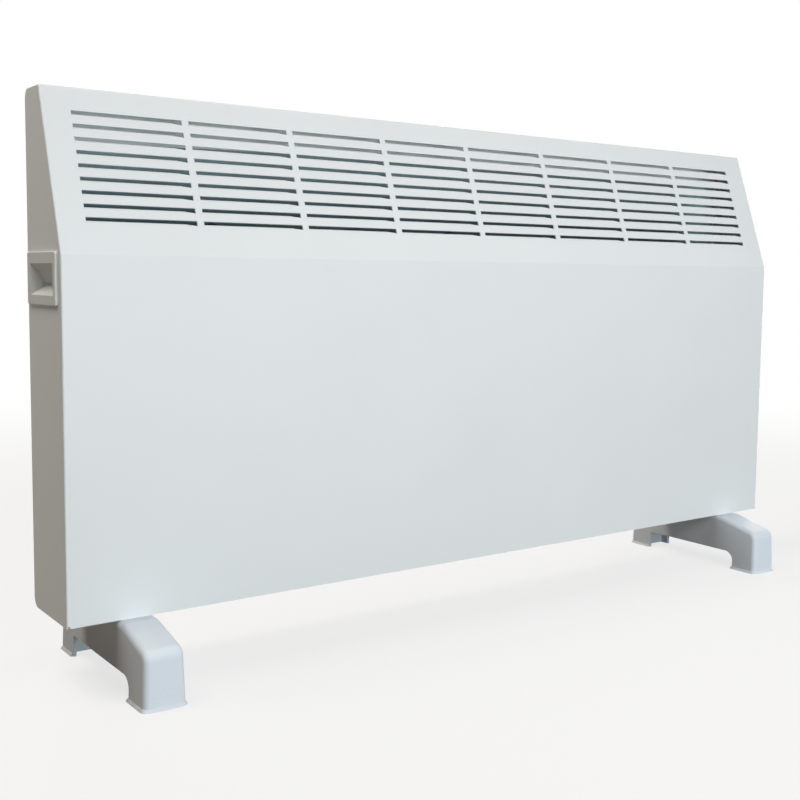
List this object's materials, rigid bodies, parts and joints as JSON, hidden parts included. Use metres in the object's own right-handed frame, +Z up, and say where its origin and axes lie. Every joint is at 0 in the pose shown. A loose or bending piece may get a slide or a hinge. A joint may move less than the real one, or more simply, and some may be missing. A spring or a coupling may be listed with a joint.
{
  "type": "wall panel convector heater",
  "caption": "Slim convector heater: folded white case with a louvred slope, side grips, knob and rocker switches on one side, keyholes behind, on moulded feet.",
  "frame": {"origin": "on the floor, under the middle of the case width and of the feet", "axes": "+X to the right along the case as seen from the front, -Y out of the front, +Z up"},
  "size_m": [0.8127, 0.1812, 0.4545],
  "materials": {
    "white_sheet": "semi-gloss powder coat",
    "shield_sheet": "aluminised, dull",
    "zinc_sheet": "bright zinc",
    "aluminium": "as cast",
    "steel": "drawn",
    "ceramic": "glazed steatite",
    "pale_plastic": "fine spark texture",
    "foot_plastic": "fine spark texture",
    "black_plastic": "satin",
    "brass": "tinned"
  },
  "bodies": {
    "case": {"front_panel": "white_sheet", "back_panel": "white_sheet", "bottom_plate": "white_sheet", "cable_bush": "black_plastic", "heat_shield": "shield_sheet", "partition": "zinc_sheet", "heater_lower": "aluminium", "heater_upper": "aluminium", "heater_core_lower": "steel", "heater_core_upper": "steel", "heater_bracket_left": "zinc_sheet", "heater_bracket_right": "zinc_sheet", "ceramic_bushes": "ceramic", "bracket_screws": "steel", "thermal_cutout": "steel", "left_grip": "pale_plastic", "right_grip": "pale_plastic", "control_panel": "pale_plastic", "thermostat": "black_plastic", "thermostat_screws": "steel", "switch_body_front": "black_plastic", "switch_body_rear": "black_plastic", "switch_tabs": "brass", "terminal_block": "ceramic", "tilt_switch": "black_plastic", "foot_left": "foot_plastic", "foot_right": "foot_plastic", "foot_screws": "steel", "foot_nuts": "steel", "back_screws": "steel"},
    "knob": {"thermostat_knob": "pale_plastic", "thermostat_shaft": "pale_plastic"},
    "rocker_key_front": {"rocker_front": "black_plastic"},
    "rocker_key_rear": {"rocker_rear": "black_plastic"}
  },
  "joints": [
    {"name": "thermostat_turn", "type": "hinge", "parent": "case", "child": "knob", "pos_m": [0.3992, 0.00425, 0.248], "axis": [-1, 0, 0], "range_deg": [0, 270]},
    {"name": "front_rocker_press", "type": "hinge", "parent": "case", "child": "rocker_key_front", "pos_m": [0.3965, -0.00775, 0.19], "axis": [0, -1, 0], "range_deg": [0, 20]},
    {"name": "rear_rocker_press", "type": "hinge", "parent": "case", "child": "rocker_key_rear", "pos_m": [0.3965, 0.01625, 0.19], "axis": [0, -1, 0], "range_deg": [0, 20]}
  ]
}
